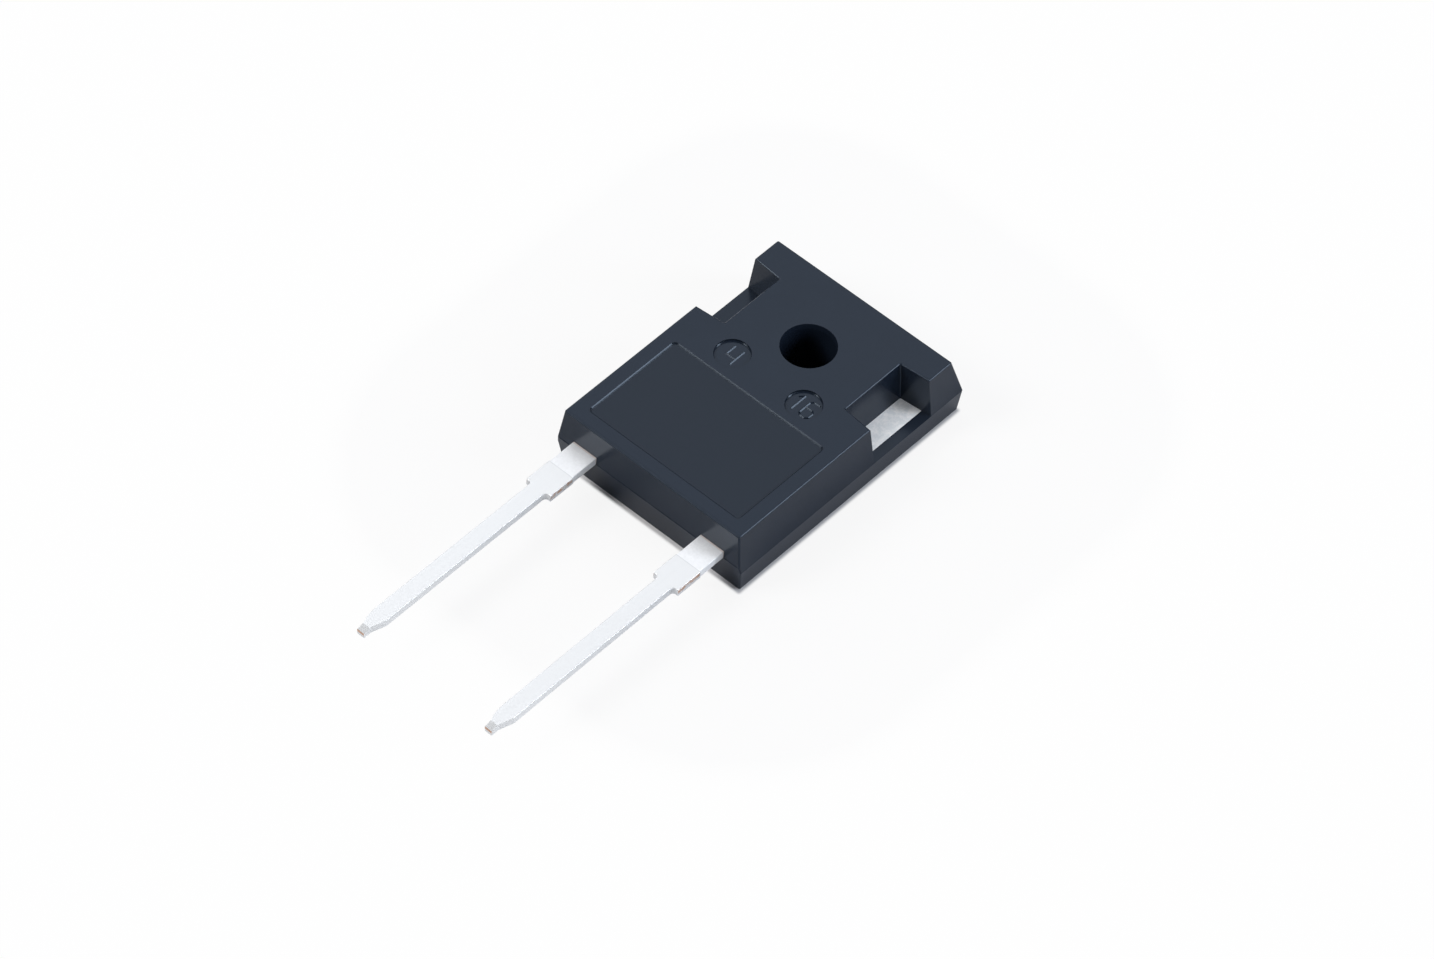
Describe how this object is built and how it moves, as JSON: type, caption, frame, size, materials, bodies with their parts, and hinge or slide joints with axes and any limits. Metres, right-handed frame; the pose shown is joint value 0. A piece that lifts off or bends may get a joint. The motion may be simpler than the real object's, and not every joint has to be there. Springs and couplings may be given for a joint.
{
  "type": "silicon carbide schottky diode",
  "caption": "Silicon carbide Schottky diode in a flat two-lead through-hole power package, with a screw hole and an exposed copper heat-sink back.",
  "frame": {"origin": "on the axis of the mounting hole, in the plane of the exposed back", "axes": "+X across the body towards the anode lead, +Y away from the leads, +Z from the exposed back to the label face"},
  "size_m": [0.0158, 0.041, 0.005],
  "materials": {
    "epoxy_moulding": "fine spark-eroded mould texture, satin",
    "tinned_copper": "matte tin plate over copper, with bare copper where the bars were cut",
    "silicon_carbide": "polished, with a metallised top",
    "solder": "dull",
    "bond_aluminium": "drawn wire"
  },
  "bodies": {
    "root": {"moulded_body": "epoxy_moulding", "cathode_leadframe": "tinned_copper", "anode_lead": "tinned_copper", "die_attach_solder": "solder", "die": "silicon_carbide", "bond_wire_1": "bond_aluminium", "bond_wire_2": "bond_aluminium", "bond_wire_3": "bond_aluminium"}
  },
  "joints": []
}
